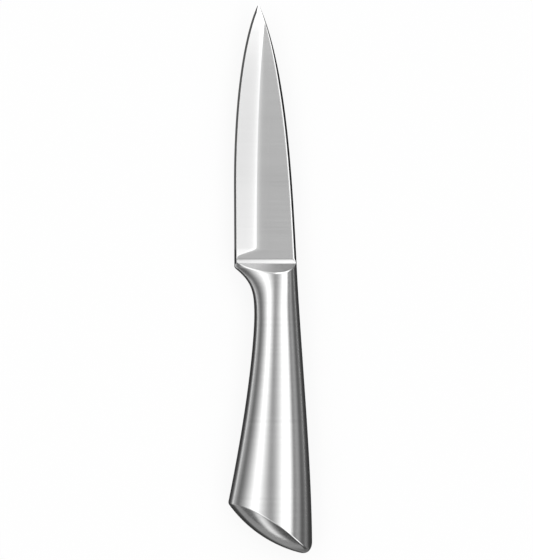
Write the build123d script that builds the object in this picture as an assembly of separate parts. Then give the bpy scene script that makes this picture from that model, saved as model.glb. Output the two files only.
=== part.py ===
from build123d import *
import os
from math import cos, hypot, radians, sin, sqrt, tan

os.makedirs("parts", exist_ok=True)

# A stainless steel paring knife with a hollow handle, lying on its right side.
# Lengths are millimetres. X runs across the knife with the spine on +X and the cutting edge
# on -X. Y runs along it with the tip on +Y. Z is its thickness, with the left side up.
# Sizes are measured from a datum point on the middle plane, at the front of the bolster.
# A height is on the spine side of the datum line and a depth is on the edge side.

# Blade
blade_length = 89.0
blade_spine_height = 9.3
blade_edge_depth = 12.55
heel_edge_depth = 12.4
belly_distance = 25.8
tip_depth = 3.9
tip_width = 0.35
blade_thickness = 2.0
blade_taper = 0.3
grind_start = 3.9
grind_start_depth = 4.65
grind_end_to_tip = 7.3
grind_end_depth = 1.9
plunge_end = 0.3
edge_bevel_width = 0.68
edge_bevel_thickness = 0.72
spine_round_width = 1.2

# Tang and its slot
tang_length = 20.0
tang_spine_height = 6.2
tang_edge_depth = 1.6
tang_clearance = 0.1
tang_weld_width = 1.0
tang_weld_depth = 2.0

# Bolster
heel_corner_distance = 3.2
heel_corner_radius = 1.0
fillet_radius = 2.7
ramp_angle = 45.0
fillet_toe_angle = 6.0
bolster_length = 16.0
spigot_length = 6.0
spigot_clearance = 0.1

# Handle
handle_length = 103.8
handle_spine_height = 14.85
neck_distance = 20.0
neck_depth = 5.43
butt_belly_distance = 85.6
butt_belly_depth = 14.6
front_thickness = 10.0
butt_thickness = 18.6
front_crest_height = 1.8
butt_crest_height = 0.1
wall_thickness = 1.0
seam_weld_width = 1.6
ring_weld_width = 1.6

# Butt cap
butt_arc_radius = 43.9
butt_nose_radius = 5.4
butt_cap_thickness = 2.0
butt_lip_length = 4.0
butt_lip_thickness = 0.9
butt_lip_clearance = 0.08
spine_corner_radius = 3.5
belly_corner_radius = 0.9

# Reach of a cutting tool past the metal that it cuts
overrun = 2.0

# Shares for the curves: control points as (share along, share across) of a curve's span
blade_spine_shares = ((0.3, 0.105), (0.76, 0.25))
edge_curve_shares = ((0.0, 0.043), (0.24, 1.0))
grind_line_shares = ((0.43, 0.0), (0.75, 0.27))
heel_curve_shares = ((0.293, 0.87), (0.476, 1.0))
belly_curve_shares = ((0.021, 0.0), (0.324, 0.02))
handle_spine_shares = ((0.3, 0.256), (0.684, 1.01))
half_thickness_shares = ((0.29, 0.02), (0.58, 0.47))
crest_line_shares = ((0.2, -0.5), (0.6, 1.0))

# Shares for the sections: the reach of the curve handles at the crest and at the edges
front_belly_shares = (0.49, 0.3)
front_spine_shares = (0.72, 0.6)
rear_belly_shares = (0.54, 0.54)
rear_spine_shares = (0.56, 0.56)

# Shares for the places of the sections, from the front of each loft to its end
blade_section_shares = (0, 0.1, 0.2, 0.3, 0.42, 0.54, 0.65, 0.75, 0.83, 0.89, 0.94, 0.97, 1)
plunge_shares = ((0, 0), (0.4, 0.34), (0.7, 0.7), (1, 0.96))
edge_round_shares = (0.35, 0.62)
narrow_round_share = 0.09
bolster_front_shares = (0, 0.5, 1)
bolster_rear_shares = (0, 0.14, 0.28, 0.42, 0.56, 0.71, 0.86, 1)
spigot_shares = (0, 0.2, 0.4, 0.6, 0.8, 1)
handle_section_shares = (0, 0.07, 0.15, 0.24, 0.34, 0.45, 0.56, 0.67, 0.78, 0.89, 1)
spine_round_shares = ((1, 1), (0.4, 0.84), (0, 0.42))


def curve(start, end, shares):
    """Four control points (y, x) from start to end, the inner two at shares of the span."""
    inner = []
    for along, across in shares:
        y = start[0] + along * (end[0] - start[0])
        x = start[1] + across * (end[1] - start[1])
        inner.append((y, x))
    return [start, *inner, end]


def curve_point(points, share):
    """Point (y, x) of a cubic curve at a share of its parameter."""
    rest = 1 - share
    weights = (rest**3, 3 * rest**2 * share, 3 * rest * share**2, share**3)
    y = sum(weight * point[0] for weight, point in zip(weights, points))
    x = sum(weight * point[1] for weight, point in zip(weights, points))
    return y, x


def across(points, y):
    """Place x of a curve at the place y, found by halving. Past its ends it runs straight."""
    first, second, third, last = points
    way = 1 if last[0] > first[0] else -1
    if (y - first[0]) * way < 0:
        return first[1] + (y - first[0]) * (second[1] - first[1]) / (second[0] - first[0])
    if (y - last[0]) * way > 0:
        return last[1] + (y - last[0]) * (last[1] - third[1]) / (last[0] - third[0])
    low, high = 0, 1
    for _ in range(40):
        middle = (low + high) / 2
        if (curve_point(points, middle)[0] - y) * way < 0:
            low = middle
        else:
            high = middle
    return curve_point(points, high)[1]


# Place where the grind line runs out into the spine, and the blank's side past the edge
grind_end = blade_length - grind_end_to_tip
blank_edge_x = -blade_edge_depth - overrun

# Lines of the knife in plan, on the middle plane
blade_spine_line = curve((0, blade_spine_height), (blade_length, -tip_depth), blade_spine_shares)
edge_line = curve((blade_length, -tip_depth), (belly_distance, -blade_edge_depth), edge_curve_shares)
grind_line = curve((grind_start, -grind_start_depth), (grind_end, -grind_end_depth), grind_line_shares)
heel_line = curve(
    (-heel_corner_distance, -heel_edge_depth), (-neck_distance, -neck_depth), heel_curve_shares
)
belly_line = curve(
    (-neck_distance, -neck_depth), (-butt_belly_distance, -butt_belly_depth), belly_curve_shares
)
handle_spine_line = curve(
    (0, blade_spine_height), (-handle_length, handle_spine_height), handle_spine_shares
)

# Lines of the handle seen from the side: its half thickness, and where its crest runs
half_thickness_line = curve(
    (0, front_thickness / 2), (-handle_length, butt_thickness / 2), half_thickness_shares
)
crest_line = curve((0, front_crest_height), (-handle_length, butt_crest_height), crest_line_shares)


def spine_x(y):
    """Place of the spine, on the blade or on the handle."""
    return across(blade_spine_line if y > 0 else handle_spine_line, y)


def edge_x(y):
    """Place of the cutting edge, the heel or the belly of the handle."""
    if y > belly_distance:
        return across(edge_line, y)
    if y > -heel_corner_distance:
        share = (belly_distance - y) / (belly_distance + heel_corner_distance)
        return -blade_edge_depth + share * (blade_edge_depth - heel_edge_depth)
    return across(heel_line if y > -neck_distance else belly_line, y)


def flat_half(y):
    """Height of the blade's flat above its middle plane: even to the plunge, then tapering."""
    share = max(0, (y - grind_start) / (grind_end - grind_start))
    return (blade_thickness - share * blade_taper) / 2


def cutter_face(points, y):
    """Face across the knife at the place y, above a line of points (x, z) that it cuts to.

    The line runs on straight at both ends, and the face is closed high above it."""
    (x_a, z_a), (x_b, z_b) = points[0], points[1]
    (x_c, z_c), (x_d, z_d) = points[-2], points[-1]
    top = blade_thickness
    first_slope = (z_b - z_a) / (x_b - x_a)
    last_slope = (z_d - z_c) / (x_d - x_c)
    first_x = blank_edge_x - overrun if first_slope > 0 else x_a + (top - z_a) / first_slope
    last_x = x_d + overrun if last_slope < 0 else x_d + (top - z_d) / last_slope
    line = [(first_x, z_a + first_slope * (first_x - x_a)), *points]
    line.append((last_x, z_d + last_slope * (last_x - x_d)))
    high = 2 * top
    corners = [Vector(x, y, z) for x, z in [*line, (last_x, high), (first_x, high)]]
    return Face(Wire.make_polygon(corners, close=True))


def bevel_face(y, rise):
    """Face of what is ground away above the edge bevel and the long bevel, at the place y.

    The rise is the share by which the bevels have run out into the blunt shoulder."""
    edge = edge_x(y)
    half = flat_half(y)
    bevel_half = (edge_bevel_thickness + rise * (blade_thickness - edge_bevel_thickness)) / 2
    bevel_x = edge + edge_bevel_width
    grind_x = bevel_x + (1 - rise) * (across(grind_line, y) - bevel_x)
    across_share, high_share = edge_round_shares
    height_share = across_share + rise * (high_share - across_share)
    shoulder = (edge + across_share * edge_bevel_width, height_share * bevel_half)
    return cutter_face([(edge, 0), shoulder, (bevel_x, bevel_half), (grind_x, half)], y)


def spine_face(y):
    """Face of what is ground away above the rounding of the spine, at the place y."""
    spine = spine_x(y)
    width = min(spine_round_width, narrow_round_share * (spine - edge_x(y)))
    half = flat_half(y)
    return cutter_face([(spine - inset * width, high * half) for inset, high in spine_round_shares], y)


def handle_section(y, inset):
    """Section of the handle at the place y: four cubic quarters, drawn in by an inset."""
    left = edge_x(y) + inset
    right = spine_x(y) - inset
    crest = across(crest_line, y)
    half = across(half_thickness_line, y) - inset
    blend = max(0, min(1, -y / neck_distance))
    blend = blend * blend * (3 - 2 * blend)
    quarters = []
    for side, front, rear in (
        (left, front_belly_shares, rear_belly_shares),
        (right, front_spine_shares, rear_spine_shares),
    ):
        crest_reach = front[0] + blend * (rear[0] - front[0])
        edge_reach = front[1] + blend * (rear[1] - front[1])
        for way in (1, -1):
            handles = (
                (side, y, 0),
                (side, y, way * edge_reach * half),
                (crest + crest_reach * (side - crest), y, way * half),
                (crest, y, way * half),
            )
            quarters.append(Bezier(*handles))
    return Face(Wire(quarters))


def handle_form(front, rear, shares, inset):
    """Solid loft of the handle's form between two places along it."""
    places = [front + share * (rear - front) for share in shares]
    return loft([handle_section(y, inset) for y in places])


def slab(x_range, y_range, z_range):
    """Box between three pairs of limits."""
    size = [high - low for low, high in (x_range, y_range, z_range)]
    middle = [(low + high) / 2 for low, high in (x_range, y_range, z_range)]
    return Pos(*middle) * Box(*size)


def ramp_place():
    """Length and height of the fillet in front of the ramp."""
    turn = radians(ramp_angle)
    return fillet_radius * sin(turn), fillet_radius * (1 - cos(turn))


# Reach of slabs that cut right across the knife
across_reach = butt_thickness + handle_spine_height
fillet_length, fillet_height = ramp_place()
ring_front = -bolster_length
ring_rear = ring_front - ring_weld_width
form_end = -handle_length - overrun
tang_rear = -tang_length


def prism_across(points):
    """Solid through a profile of points (y, z), as long as the knife is wide and more."""
    wire = Wire.make_polygon([Vector(-across_reach, y, z) for y, z in points], close=True)
    return extrude(Face(wire), amount=2 * across_reach, dir=(1, 0, 0))


def tang_slab(y_range, clearance):
    """The tang's box, grown by a clearance all round."""
    half = blade_thickness / 2 + clearance
    x_range = (-tang_edge_depth - clearance, tang_spine_height + clearance)
    return slab(x_range, y_range, (-half, half))


def blade_blank():
    """Flat blank with the outline of the spine, tapered in thickness towards the tip."""
    end = blade_length - tip_width
    heel = (spine_x(-fillet_length), -fillet_length)
    corners = [
        (-tip_depth, blade_length),
        (blank_edge_x, blade_length),
        (blank_edge_x, -fillet_length),
        heel,
        (blade_spine_height, 0),
    ]
    sides = [Line((*first, 0), (*second, 0)) for first, second in zip(corners, corners[1:])]
    spine = Bezier([(x, y, 0) for y, x in blade_spine_line])
    plan = Face(Wire([spine, *sides]))
    up = blade_thickness
    outline = extrude(plan, amount=up, dir=(0, 0, 1)) + extrude(plan, amount=up, dir=(0, 0, -1))
    profile = [(-fillet_length, flat_half(0)), (grind_start, flat_half(0)), (end, flat_half(end))]
    below = [(y, -z) for y, z in reversed(profile)]
    return outline & prism_across(profile + below)


def make_blade():
    """Blade ground from its blank on both sides, with its blunt shoulder and its tang."""
    end = blade_length - tip_width
    stations = [grind_start + share * (end - grind_start) for share in blade_section_shares]
    ground = loft([bevel_face(y, 0) for y in stations])
    plunge_faces = []
    for along, rise in plunge_shares:
        y = grind_start + along * (plunge_end - grind_start)
        plunge_faces.append(bevel_face(y, rise))
    plunge = loft(plunge_faces)
    shoulder = loft([plunge_faces[-1], bevel_face(-fillet_length, plunge_shares[-1][1])])
    spine_stations = [-fillet_length + share * (end + fillet_length) for share in blade_section_shares]
    spine = loft([spine_face(y) for y in spine_stations])
    body = blade_blank()
    for cutter in (ground, plunge, shoulder, spine):
        body = body - cutter - cutter.mirror(Plane.XY)
    return body + tang_slab((tang_rear, 0), 0)


def bolster_front_form():
    """Form of the bolster from the blade to the corner of the heel."""
    return handle_form(plunge_end, -heel_corner_distance, bolster_front_shares, 0)


def rounding(centre, radius, first_way, second_way):
    """What lies outside a rounded corner seen in plan, between two ways out of its centre."""
    far = butt_thickness
    middle = Vector(*centre, -far)
    first = far * Vector(*first_way)
    second = far * Vector(*second_way)
    points = [middle, middle + first, middle + first + second, middle + second]
    wedge = extrude(Face(Wire.make_polygon(points, close=True)), amount=2 * far, dir=(0, 0, 1))
    return wedge - Pos(*centre) * Cylinder(radius, 2 * far)


def heel_rounding():
    """What lies outside the rounded corner of the heel."""
    start, handle = heel_line[0], heel_line[1]
    run = hypot(handle[0] - start[0], handle[1] - start[1])
    out_x = (handle[0] - start[0]) / run
    out_y = -(handle[1] - start[1]) / run
    reach = heel_corner_radius / (1 - out_x)
    centre = (start[1] - reach * (out_x - 1), start[0] - reach * out_y)
    return rounding(centre, heel_corner_radius, (-1, 0), (out_x, out_y))


def make_bolster():
    """Solid bolster with a sloped front on both sides, a slot for the tang and a spigot."""
    wide = (-across_reach, across_reach)
    rear_form = handle_form(-heel_corner_distance, ring_front, bolster_rear_shares, 0)
    body = (bolster_front_form() + rear_form) & slab(wide, (ring_front, -fillet_length), wide)
    foot = blade_thickness / 2 + fillet_height
    run = (across_reach - foot) / tan(radians(ramp_angle))
    above = [
        (-fillet_length, foot),
        (-fillet_length + overrun, foot),
        (-fillet_length + overrun, across_reach),
        (-fillet_length - run, across_reach),
    ]
    cutter = prism_across(above)
    rear = ring_front - spigot_length
    inset = wall_thickness + spigot_clearance
    spigot = handle_form(ring_front + overrun, rear, spigot_shares, inset)
    body = body - cutter - cutter.mirror(Plane.XY) - heel_rounding() + spigot
    slot = tang_slab((rear - overrun, 0), tang_clearance)
    pocket = tang_slab((rear - overrun, tang_rear + tang_weld_depth), tang_weld_width)
    return body - slot - pocket


def make_tang_weld():
    """Weld that fills the pocket round the end of the tang."""
    span = (tang_rear, tang_rear + tang_weld_depth)
    return tang_slab(span, tang_weld_width) - tang_slab(span, 0)


def make_blade_weld():
    """Two ground weld beads, one on each side of the blade, with a hollow face."""
    face = blade_thickness / 2
    toe = radians(fillet_toe_angle)
    middle_turn = (toe + radians(ramp_angle)) / 2
    start = Vector(-across_reach, -fillet_radius * sin(toe), face)
    middle = Vector(-across_reach, -fillet_radius * sin(middle_turn),
                    face + fillet_radius * (1 - cos(middle_turn)))
    end = Vector(-across_reach, -fillet_length, face + fillet_height)
    corner = Vector(-across_reach, -fillet_length, face)
    profile = Wire([ThreePointArc(start, middle, end), Line(end, corner), Line(corner, start)])
    bead = extrude(Face(profile), amount=2 * across_reach, dir=(1, 0, 0))
    upper = bead & bolster_front_form()
    return upper, upper.mirror(Plane.XY)


def butt_arc_centre():
    """Centre (x, y) of the arc of the butt, through its two corners in plan."""
    belly = (-butt_belly_depth, -butt_belly_distance)
    spine = (handle_spine_height, -handle_length)
    chord = hypot(spine[0] - belly[0], spine[1] - belly[1])
    rise = sqrt(butt_arc_radius**2 - (chord / 2) ** 2)
    x = (belly[0] + spine[0]) / 2 - rise * (spine[1] - belly[1]) / chord
    y = (belly[1] + spine[1]) / 2 + rise * (spine[0] - belly[0]) / chord
    return x, y


def butt_cutter(depth):
    """What lies behind the butt's rounded end face, when that is drawn in by a depth.

    The end face turns about an upright axis, and its nose is a parabola from side to side."""
    centre_x, centre_y = butt_arc_centre()
    rim = butt_arc_radius - depth
    reach = butt_thickness / 2 + overrun
    drop = reach**2 / (2 * butt_nose_radius)
    nose = Bezier((rim - drop, 0, reach), (rim + drop, 0, 0), (rim - drop, 0, -reach))
    above = Vector(0, 0, reach)
    below = Vector(0, 0, -reach)
    sides = [Line(nose @ 1, below), Line(below, above), Line(above, nose @ 0)]
    disc = revolve(Face(Wire([nose, *sides])), axis=Axis.Z)
    front = -butt_belly_distance + butt_thickness / 2
    behind = slab((-across_reach, across_reach), (form_end - overrun, front), (-reach, reach))
    return behind - Pos(centre_x, centre_y, 0) * disc


def butt_corner_rounding(side_x, radius):
    """What lies outside a rounded corner of the butt, between its arc and a side of the handle."""
    centre_x, centre_y = butt_arc_centre()
    way = 1 if side_x > 0 else -1
    x = side_x - way * radius
    arc_reach = butt_arc_radius - radius
    y = centre_y - sqrt(arc_reach**2 - (x - centre_x) ** 2)
    out = ((x - centre_x) / arc_reach, (y - centre_y) / arc_reach)
    return rounding((x, y), radius, (way, 0), out)


def make_handle():
    """The shells, the cap of the butt and the welds that join them, by name."""
    half_seam = seam_weld_width / 2
    wide = (-across_reach, across_reach)
    end_cut = butt_cutter(0)
    cap_cut = butt_cutter(butt_cap_thickness)
    corners = butt_corner_rounding(handle_spine_height, spine_corner_radius)
    corners += butt_corner_rounding(-butt_belly_depth, belly_corner_radius)
    outer = handle_form(ring_front, form_end, handle_section_shares, 0) - end_cut - corners
    inner = handle_form(ring_front, form_end, handle_section_shares, wall_thickness)
    wall = outer - inner
    tube = (wall - cap_cut) & slab(wide, (form_end, ring_rear), wide)
    left = tube & slab(wide, (form_end, ring_rear), (half_seam, across_reach))
    seams = tube & slab(wide, (form_end, ring_rear), (-half_seam, half_seam))
    strips = sorted(seams.solids(), key=lambda strip: strip.center().X)
    gap = wall_thickness + butt_lip_clearance
    lip = handle_form(ring_rear, form_end, handle_section_shares, gap)
    lip -= handle_form(ring_rear, form_end, handle_section_shares, gap + butt_lip_thickness)
    lip = (lip - cap_cut) & butt_cutter(butt_cap_thickness + butt_lip_length)
    cap = (inner & cap_cut) - end_cut - corners + lip
    return {
        "handle_shell_left": left,
        "handle_shell_right": left.mirror(Plane.XY),
        "belly_seam_weld": strips[0],
        "spine_seam_weld": strips[-1],
        "bolster_ring_weld": wall & slab(wide, (ring_rear, ring_front), wide),
        "butt_ring_weld": wall & cap_cut,
        "butt_cap": cap,
    }


pieces = {
    "blade": make_blade(),
    "bolster": make_bolster(),
    "blade_weld": Compound([bead.solid() for bead in make_blade_weld()]),
    "tang_weld": make_tang_weld(),
    **make_handle(),
}

# The knife's own origin is the middle of the underside of its box
box = Compound([piece for shape in pieces.values() for piece in shape.solids()]).bounding_box()
origin = Pos(-box.center().X, -box.center().Y, -box.min.Z)
for name, shape in pieces.items():
    solids = shape.solids()
    placed = origin * (solids[0] if len(solids) == 1 else Compound(solids))
    export_step(placed, f"parts/{name}.step")
    print(f"{name}: {len(solids)} solid(s), {shape.volume:.1f} cubic mm")
print(f"whole knife {box.size.X:.2f} x {box.size.Y:.2f} x {box.size.Z:.2f} mm")
print(f"origin {box.center().X:.3f}, {box.center().Y:.3f}, {box.min.Z:.3f} from the datum")
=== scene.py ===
# %% [markdown]
# # A stainless steel paring knife, dressed for the photograph
#
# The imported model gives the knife's true sizes. Here each of its pieces is drawn again as a fine,
# smooth surface with steel that looks like steel, and lit as in a small studio. Brushed metal
# shows nothing but what stands round it, so most of the likeness is in two things: surfaces whose
# slopes are right, and lamps and cards in the right places.

import bpy
import numpy as np
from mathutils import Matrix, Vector


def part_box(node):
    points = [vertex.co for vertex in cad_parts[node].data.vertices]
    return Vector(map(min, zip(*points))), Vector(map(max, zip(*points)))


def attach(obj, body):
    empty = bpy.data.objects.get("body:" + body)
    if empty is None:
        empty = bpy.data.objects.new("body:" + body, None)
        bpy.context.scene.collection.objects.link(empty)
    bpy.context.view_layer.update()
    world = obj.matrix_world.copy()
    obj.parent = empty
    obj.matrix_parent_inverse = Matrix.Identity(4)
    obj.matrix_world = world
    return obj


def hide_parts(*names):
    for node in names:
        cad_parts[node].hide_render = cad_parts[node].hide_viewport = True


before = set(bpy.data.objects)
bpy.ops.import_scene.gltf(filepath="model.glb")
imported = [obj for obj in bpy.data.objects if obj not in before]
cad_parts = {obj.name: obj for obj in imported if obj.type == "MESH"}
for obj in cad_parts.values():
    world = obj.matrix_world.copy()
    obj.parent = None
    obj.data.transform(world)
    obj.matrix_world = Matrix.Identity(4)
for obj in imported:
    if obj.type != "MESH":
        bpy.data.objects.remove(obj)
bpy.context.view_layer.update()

# %% [markdown]
# ## Sizes
#
# The knife is easiest to describe from a datum point: on its middle plane, at the front of the
# bolster and 12.55 mm in from the cutting edge. Y runs to the tip, X to the spine and Z to the
# left side, which faces the camera. Lengths are millimetres, as on a workshop drawing, and turn
# into metres as each mesh is made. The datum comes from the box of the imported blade, so the
# drawing and the model can't drift apart.

# %% The knife's sizes in millimetres
MM = 0.001
BLADE_LENGTH = 88.65
EDGE_DEPTH = 12.55
FRONT_THICKNESS = 10.0
BUTT_THICKNESS = 18.6
BLADE_THICKNESS = 2.0
TIP_THICKNESS = 1.7
BLADE_HALF = BLADE_THICKNESS / 2

blade_low, blade_high = (np.array(corner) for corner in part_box("blade"))
datum = np.array(
    [
        blade_low[0] + EDGE_DEPTH * MM,
        blade_high[1] - BLADE_LENGTH * MM,
        (blade_low[2] + blade_high[2]) / 2,
    ]
)
print("datum in the model's frame, millimetres:", np.round(datum / MM, 3))

# %% [markdown]
# ## Curves
#
# Every line of the knife in plan is one cubic curve with four control points: spine, edge, grind
# line, heel, belly and the crest of the handle. That is what a designer would draw, and it has
# no wobble. The surfaces below ask for the place at a station, the distance along the knife, so
# each line is worked out once at twenty thousand points and read off between them.


# %% A cubic curve, and its place at a station
def cubic(points, t):
    """(1-t)^3 A + 3(1-t)^2 t B + 3(1-t) t^2 C + t^3 D, for whole arrays of t."""
    a, b, c, d = points
    r = 1 - t
    return r**3 * a + 3 * r**2 * t * b + 3 * r * t**2 * c + t**3 * d


def even(count):
    """Evenly spaced shares from 0 to 1."""
    return np.linspace(0, 1, count)


def denser_ends(u):
    """Shares that lie closer together towards 0 and 1."""
    return (u + (0.5 - 0.5 * np.cos(np.pi * u))) / 2


def smoothstep(t):
    """0 to 1 with a level start and end."""
    return t * t * (3 - 2 * t)


def mix(a, b, share):
    """The points a share of the way from a to b."""
    share = share[..., None]
    return (1 - share) * a + share * b


TABLE_POINTS, FAR = 20001, 10.0


def halve(low, high, too_far):
    """Halves an interval 34 times for each element, closing in on where too_far turns true."""
    for _ in range(34):
        middle = (low + high) / 2
        over = too_far(middle)
        low = np.where(over, low, middle)
        high = np.where(over, middle, high)
    return (low + high) / 2


def line(start, end, first, second):
    """A line across stations: start and end are (station, place), and the inner control points
    are shares of the way between them. Past both ends it runs straight on to one far point."""
    (y0, x0), (y3, x3) = start, end
    ys = np.array([y0, y0 + first[0] * (y3 - y0), y0 + second[0] * (y3 - y0), y3])
    xs = np.array([x0, x0 + first[1] * (x3 - x0), x0 + second[1] * (x3 - x0), x3])
    t = even(TABLE_POINTS)
    table_y, table_x = (
        np.concatenate([[c[0] - FAR * (c[1] - c[0])], cubic(c, t), [c[3] + FAR * (c[3] - c[2])]])
        for c in (ys, xs)
    )
    if y3 < y0:
        table_y, table_x = table_y[::-1], table_x[::-1]
    return lambda y: np.interp(y, table_y, table_x)


# %% The knife's points in plan, as (station, place), and the lines between them
TIP, EDGE_BEND, HEEL, NECK = (89.0, -3.9), (25.8, -EDGE_DEPTH), (-3.2, -12.4), (-20.0, -5.43)
SPINE_START, GRIND_START, GRIND_END = (0, 9.3), (3.9, -4.65), (81.7, -1.9)
BELLY_CORNER, SPINE_CORNER = (-85.6, -14.6), (-103.8, 14.84)
REAR_END = SPINE_CORNER[0]

blade_spine = line(SPINE_START, TIP, (0.3, 0.105), (0.76, 0.25))
curved_edge = line(TIP, EDGE_BEND, (0.0, 0.043), (0.24, 1.0))
grind_line = line(GRIND_START, GRIND_END, (0.43, 0.0), (0.75, 0.27))
heel_line = line(HEEL, NECK, (0.293, 0.87), (0.476, 1.0))
belly_line = line(NECK, BELLY_CORNER, (0.021, 0.0), (0.324, 0.02))
handle_spine = line(SPINE_START, SPINE_CORNER, (0.3, 0.256), (0.684, 1.01))
front_half, rear_half = (0, FRONT_THICKNESS / 2), (REAR_END, BUTT_THICKNESS / 2)
half_thickness = line(front_half, rear_half, (0.29, 0.02), (0.58, 0.47))
crest_line = line((0, 1.8), (REAR_END, 0.1), (0.2, -0.5), (0.6, 1.0))


def spine_x(y):
    """Place of the spine, on the blade or on the handle."""
    return np.where(y > 0, blade_spine(y), handle_spine(y))


HEEL_ARM = 0.45


def straight_edge(y):
    """The straight part of the edge, carried on to the heel's corner."""
    share = (EDGE_BEND[0] - y) / (EDGE_BEND[0] - HEEL[0])
    return EDGE_BEND[1] + share * (HEEL[1] - EDGE_BEND[1])


def edge_x(y):
    """Place of the cutting edge, then of the heel, then of the handle's belly. The corner of
    the heel is rounded by a parabola that leaves both its sides without a kink."""
    front, rear = HEEL[0] + HEEL_ARM, HEEL[0] - HEEL_ARM
    t = np.clip((front - y) / (2 * HEEL_ARM), 0, 1)
    before, after = straight_edge(front), heel_line(rear)
    corner = (1 - t) ** 2 * before + 2 * t * (1 - t) * straight_edge(HEEL[0]) + t**2 * after
    x = np.where(y > NECK[0], heel_line(y), belly_line(y))
    x = np.where(y > rear, corner, x)
    x = np.where(y > front, straight_edge(y), x)
    return np.where(y > EDGE_BEND[0], curved_edge(y), x)


stations = np.array([80.0, 40.0, 0.0, -20.0, -60.0, -100.0])
widths = np.round(spine_x(stations) - edge_x(stations), 2)
print("width at stations, mm:", dict(zip(stations, widths)))

# %% [markdown]
# ## Surfaces
#
# A piece is a few patches. Each patch is a function of two parameters that run from 0 to 1, and
# it is worked out on a whole grid at once. Its normals come from the same function, by a tiny
# step in each parameter, and not from the faces round each vertex. That matters on polished
# steel: where two pieces of the handle meet at a ground-down weld, both get the same normal from
# the same formula, and the reflection runs over the joint without a break, as it does on the
# real handle. Vertices that two patches share are merged, so each piece is a closed body.


# %% Patches, and a mesh made of them
STEP = 1e-4


def unit(vector):
    """The same direction with length 1."""
    return vector / np.maximum(np.linalg.norm(vector, axis=-1, keepdims=True), 1e-12)


def patch(shape, u, v, flip=False):
    """Points and normals of a surface on a grid: the normal is the cross product of the two
    steps along the surface, each taken a little to both sides."""
    u, v = np.meshgrid(np.asarray(u, float), np.asarray(v, float), indexing="ij")
    points = shape(u, v)
    u_in, v_in = np.clip(u, 2 * STEP, 1 - 2 * STEP), np.clip(v, 2 * STEP, 1 - 2 * STEP)
    u_low, u_high = np.clip(u - STEP, 0, 1), np.clip(u + STEP, 0, 1)
    v_low, v_high = np.clip(v - STEP, 0, 1), np.clip(v + STEP, 0, 1)
    along_u = shape(u_high, v_in) - shape(u_low, v_in)
    along_v = shape(u_in, v_high) - shape(u_in, v_low)
    normals = unit(np.cross(along_u, along_v))
    if flip:
        points, normals = points[::-1], -normals[::-1]
    return points, normals


def mirrored(one_patch):
    """The same patch on the knife's right side: Z changes its sign and so does the winding."""
    points, normals = one_patch
    turn = np.array([1, 1, -1])
    return (points * turn)[::-1], (normals * turn)[::-1]


def add_object(name, data):
    """Puts a mesh or a camera into the scene."""
    made = bpy.data.objects.new(name, data)
    bpy.context.scene.collection.objects.link(made)
    return made


def steel_body(name, patches, slots=None):
    """One closed mesh from several patches. Corners within 0.1 micron of each other become one
    vertex, quads that shrink to an edge are dropped and those with a doubled corner become
    triangles. Each corner keeps the normal of its own patch, so creases stay crisp. The slots
    give the number of the material for each patch, and are 0 where nothing is given."""
    points, normals, quads, finishes, base = [], [], [], [], 0
    slots = slots or [0] * len(patches)
    for slot, (patch_points, patch_normals) in zip(slots, patches):
        rows, columns = patch_points.shape[:2]
        index = base + np.arange(rows * columns).reshape(rows, columns)
        around = [index[:-1, :-1], index[1:, :-1], index[1:, 1:], index[:-1, 1:]]
        quads.append(np.stack(around, -1).reshape(-1, 4))
        points.append(patch_points.reshape(-1, 3))
        normals.append(patch_normals.reshape(-1, 3))
        finishes.append(np.full((rows - 1) * (columns - 1), slot, np.int32))
        base += rows * columns
    points, normals, quads = np.vstack(points), np.vstack(normals), np.vstack(quads)
    rounded = np.round(points, 4)
    _, first, merged = np.unique(rounded, axis=0, return_index=True, return_inverse=True)
    corners = merged.reshape(-1)[quads]
    doubled = corners == np.roll(corners, -1, axis=1)
    crossed = (corners[:, 0] == corners[:, 2]) | (corners[:, 1] == corners[:, 3])
    keep = ~doubled & ~((doubled.sum(1) > 1) | crossed)[:, None]
    sides = keep.sum(1)
    loops = corners[keep]
    loop_normals = normals[quads[keep]]
    face_slots = np.concatenate(finishes)[sides > 0]
    sides = sides[sides > 0]
    mesh = bpy.data.meshes.new(name)
    mesh.vertices.add(len(first))
    mesh.vertices.foreach_set("co", (points[first] * MM + datum).ravel())
    mesh.loops.add(len(loops))
    mesh.loops.foreach_set("vertex_index", loops.astype(np.int32))
    mesh.polygons.add(len(sides))
    mesh.polygons.foreach_set("loop_start", (np.cumsum(sides) - sides).astype(np.int32))
    mesh.polygons.foreach_set("material_index", face_slots)
    mesh.update(calc_edges=True)
    mesh.shade_smooth()
    mesh.normals_split_custom_set(loop_normals)
    piece = add_object(name, mesh)
    loop_edges = np.zeros(len(loops), np.int32)
    mesh.loops.foreach_get("edge_index", loop_edges)
    open_edges = (np.bincount(loop_edges) != 2).sum()
    print(f"{name}: {len(first)} vertices, {len(sides)} faces, {open_edges} open edges")
    return piece


# %% [markdown]
# ## The handle's form
#
# The bolster, the shells and the butt all follow one form: a rounded section that swells from
# the neck to the butt. A section is four cubic quarters. Each starts upright at the edge or at
# the spine and arrives flat at the crest, so neighbours meet without a crease. How far the
# handles of each quarter reach decides how full it is, and near the bolster these reaches differ
# from those of the rear. The share s runs round the section: 0 at the belly, 1 at the crest,
# 2 at the spine, and on to 4 over the right side.


# %% One point of the handle, for a share round the section and a station
FRONT_REACHES = (0.49, 0.3, 0.72, 0.6)
REAR_REACHES = (0.54, 0.54, 0.56, 0.56)
EASE_LENGTH = 20.0


def reaches(y):
    """Reaches of the quarters at a station, eased from the bolster's to the rear's: at the
    crest and at the side, first for the belly and then for the spine."""
    ease = smoothstep(np.clip(-y / EASE_LENGTH, 0, 1))
    return [front + ease * (rear - front) for front, rear in zip(FRONT_REACHES, REAR_REACHES)]


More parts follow.
